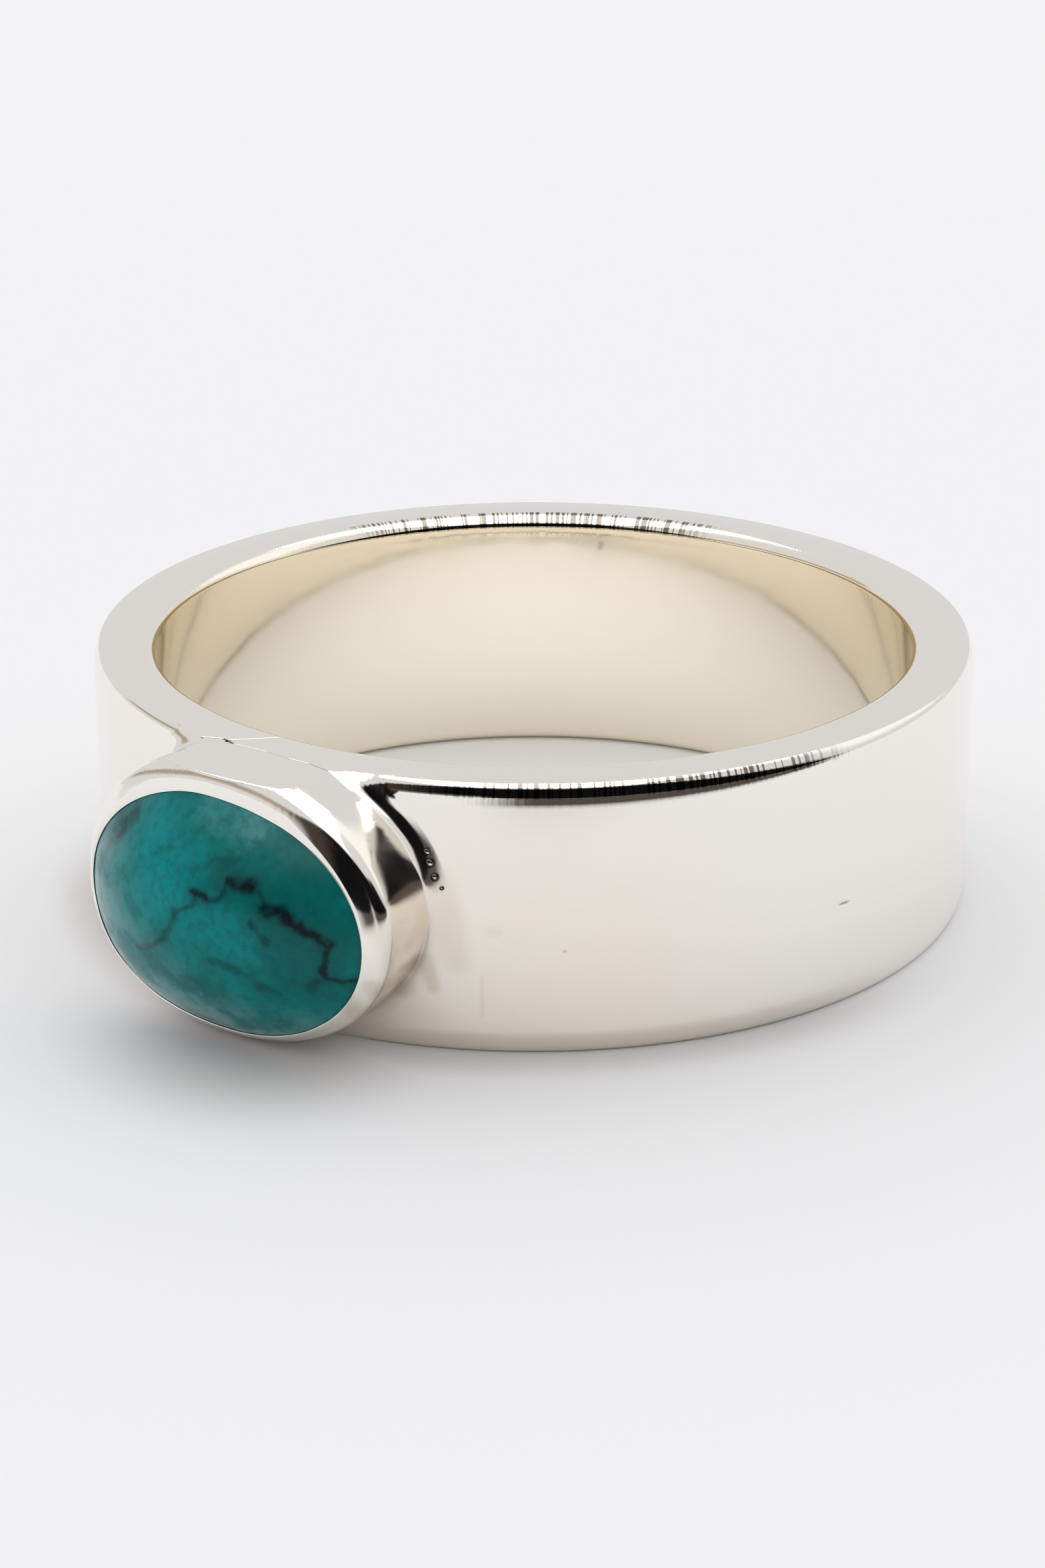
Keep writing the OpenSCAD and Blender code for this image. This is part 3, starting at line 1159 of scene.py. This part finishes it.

# %% [markdown]
# Where the ring stands on the paper and under the bezel a soft warm shade is painted on it, and inside the
# ring painted light makes it a little lighter. The line between the two is hidden under the band's wall.

# %% Shades of the paper
PAPER = (0.825, 0.83, 0.850, 1)
PAPER_SHADE = (0.06, 0.05, 0.045, 1)
PAPER_CONTACT = (0.50, 0.47, 0.45, 1)
PAPER_PAINTED_LIGHT = (0.95, 0.945, 0.94, 1)
PAPER_ROUGHNESS, PAPER_SHINE = 0.9, 0.1
OUTSIDE_FADE = (1.2, 0.8)
CONTACT_FADE, CONTACT_DEPTH = (-1.6, 0.0), 0.6
CONTACT_AZIMUTHS = (-95, 45, 15)
UNDER_BEZEL = (0.8, -12.2, 0.0)
BEZEL_FADE, BEZEL_DEPTH = (4.6, 1.0), 0.55

level, from_axis = from_the_axis(tree, place)
under_ring = work_out(tree, "SUBTRACT", band_r / MM, from_axis)
outside = fade(tree, under_ring, *OUTSIDE_FADE)
contact = fade(tree, under_ring, *CONTACT_FADE, 0.0, CONTACT_DEPTH)
contact = all_of(tree, contact, outside, between(tree, azimuth, *CONTACT_AZIMUTHS))
from_bezel = vectors(tree, "DISTANCE", level, UNDER_BEZEL)
below_bezel = fade(tree, from_bezel, *BEZEL_FADE, 0.0, BEZEL_DEPTH)
contact = work_out(tree, "MAXIMUM", contact, below_bezel)
# Painted light inside the ring, then painted shade where it stands and under the bezel.
tone = blend(tree, outside, PAPER_PAINTED_LIGHT, PAPER)
tone = blend(tree, contact, tone, PAPER_CONTACT)
tree.links.new(blend(tree, shaded, tone, PAPER_SHADE), shader.inputs["Base Color"])
shader.inputs["Roughness"].default_value = PAPER_ROUGHNESS
shader.inputs["Specular IOR Level"].default_value = PAPER_SHINE
finish_with(floor, paper)

# %% [markdown]
# Silver is lit with what it mirrors. Here that is a pale tent all round, grey on its far side and bright
# above, a soft light panel overhead, a brown strip low on the left and the dark room behind the camera.
# We start with the way that a ray goes, as an azimuth, a rise over the table, an angle over the top from
# the camera's side to the far one, and an angle across, from straight up to the right.

# %% Ways into the world
world = bpy.data.worlds.new("studio")
bpy.context.scene.world = world
world.use_nodes = True
tree = world.node_tree
tree.nodes.clear()
way = put(tree, "TexCoord").outputs["Generated"]
forward = part_along(tree, way, TOWARDS_CAMERA)
sideways = part_along(tree, way, TO_THE_RIGHT)
upward = part_along(tree, way, (0, 0, 1))
azimuth = angle_between(tree, sideways, forward)
rise = work_out(tree, "DEGREES", work_out(tree, "ARCSINE", upward))
over_the_top = angle_between(tree, upward, forward)
across = angle_between(tree, sideways, upward)
print("nodes that tell the way:", len(tree.nodes))

# %% [markdown]
# The room is a dark shape with a level top, which slopes down on both sides, and a lower edge that rises
# to the left. On the left it is a little brown. A slope is given by the rise that it gains with each
# degree of azimuth and by its rise at the camera's side.

# %% The dark room
ROOM_BROWN = (0.060, 0.047, 0.038, 1)
ROOM_BLACK = (0.005, 0.005, 0.006, 1)
ROOM_TOP = 34.0
ROOM_AZIMUTHS = (-56, 84, 8)
BROWN_TO_BLACK = (-42, -20)
LEFT_SLOPE, RIGHT_SLOPE, FOOT_SLOPE = (0.7, 50.0), (-0.62, 52.0), (-1.05, -14.0)
TOP_SOFT, FOOT_SOFT = 4.0, 5.0


def slope(each_degree, at_camera):
    """A rise that changes with the azimuth."""
    return work_out(tree, "MULTIPLY_ADD", azimuth, each_degree, at_camera)


room_top = work_out(tree, "MINIMUM", slope(*LEFT_SLOPE), slope(*RIGHT_SLOPE))
room_top = work_out(tree, "MINIMUM", room_top, ROOM_TOP)
room_foot = work_out(tree, "MINIMUM", slope(*FOOT_SLOPE), 0.0)
under_top = fade(tree, work_out(tree, "SUBTRACT", rise, room_top), TOP_SOFT, -TOP_SOFT)
over_foot = fade(tree, work_out(tree, "SUBTRACT", rise, room_foot), -FOOT_SOFT, FOOT_SOFT)
room = all_of(tree, under_top, over_foot, between(tree, azimuth, *ROOM_AZIMUTHS))
room_colour = blend(tree, fade(tree, azimuth, *BROWN_TO_BLACK), ROOM_BROWN, ROOM_BLACK)
print("nodes with the room:", len(tree.nodes))

# %% [markdown]
# Tent, strip and panel follow, each over the one before. The panel is far brighter than white, because
# only then do the narrow rounded edges, which mirror a sliver of it, come out white.

# %% Tent and panel
TENT_FAR = (0.73, 0.73, 0.74, 1)
TENT_TOP = (0.88, 0.88, 0.87, 1)
TENT_RIGHT = (1.04, 1.03, 1.02, 1)
BROWN_STRIP = (0.42, 0.36, 0.28, 1)
PANEL = (3.2, 3.15, 3.05, 1)
FAR_TO_TOP = (42, 66)
RIGHT_AZIMUTHS, RIGHT_RISES = (84, 128, 8), (4, 20)
STRIP_AZIMUTHS, STRIP_RISES = (-124, -46, 4), (7, 15, 3)
PANEL_OVER_THE_TOP, PANEL_ACROSS = (42, 122, 3), (-29, 29, 2)

seen = blend(tree, fade(tree, rise, *FAR_TO_TOP), TENT_FAR, TENT_TOP)
tent_right = all_of(tree, between(tree, azimuth, *RIGHT_AZIMUTHS), fade(tree, rise, *RIGHT_RISES))
seen = blend(tree, tent_right, seen, TENT_RIGHT)
strip = all_of(tree, between(tree, azimuth, *STRIP_AZIMUTHS), between(tree, rise, *STRIP_RISES))
seen = blend(tree, strip, seen, BROWN_STRIP)
over_panel = between(tree, over_the_top, *PANEL_OVER_THE_TOP)
panel = all_of(tree, over_panel, between(tree, across, *PANEL_ACROSS))
seen = blend(tree, panel, seen, PANEL)
seen = blend(tree, room, seen, room_colour)
print("nodes with the tent:", len(tree.nodes))

# %% [markdown]
# All this shows in the silver. The paper has a light of its own, from above and behind, so that the soft
# shadow falls towards the camera, and the camera itself sees plain pale ground past the table's edge.

# %% Light on the table
TABLE_FRONT = (0.62, 0.62, 0.63, 1)
TABLE_BACK = (1.29, 1.28, 1.27, 1)
FRONT_TO_BACK = (20, 115)
GROUND = (0.86, 0.86, 0.88, 1)
ANY_BOUNCE = 0.5

ray = put(tree, "LightPath").outputs
table_light = blend(tree, fade(tree, over_the_top, *FRONT_TO_BACK), TABLE_FRONT, TABLE_BACK)
from_paper = work_out(tree, "GREATER_THAN", ray["Diffuse Depth"], ANY_BOUNCE)
seen = blend(tree, from_paper, seen, table_light)
seen = blend(tree, ray["Is Camera Ray"], seen, GROUND)
background = put(tree, "Background", {"Color": seen})
put(tree, "OutputWorld", {"Surface": background.outputs[0]})
world.cycles.sampling_method = "NONE"
print("nodes in the world:", len(tree.nodes))

# %% [markdown]
# The picture is shown as a camera would record it, with whites that stay white.

# %% Colours of the picture
bpy.context.scene.view_settings.view_transform = "Standard"
print("view transform:", bpy.context.scene.view_settings.view_transform)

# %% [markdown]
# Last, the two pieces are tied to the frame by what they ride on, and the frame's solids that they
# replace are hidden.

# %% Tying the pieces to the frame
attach(band, "root")
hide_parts("silver_band_and_bezel")
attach(stone, "root")
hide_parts("turquoise_cabochon")
print("on the frame:", band.name, "and", stone.name)
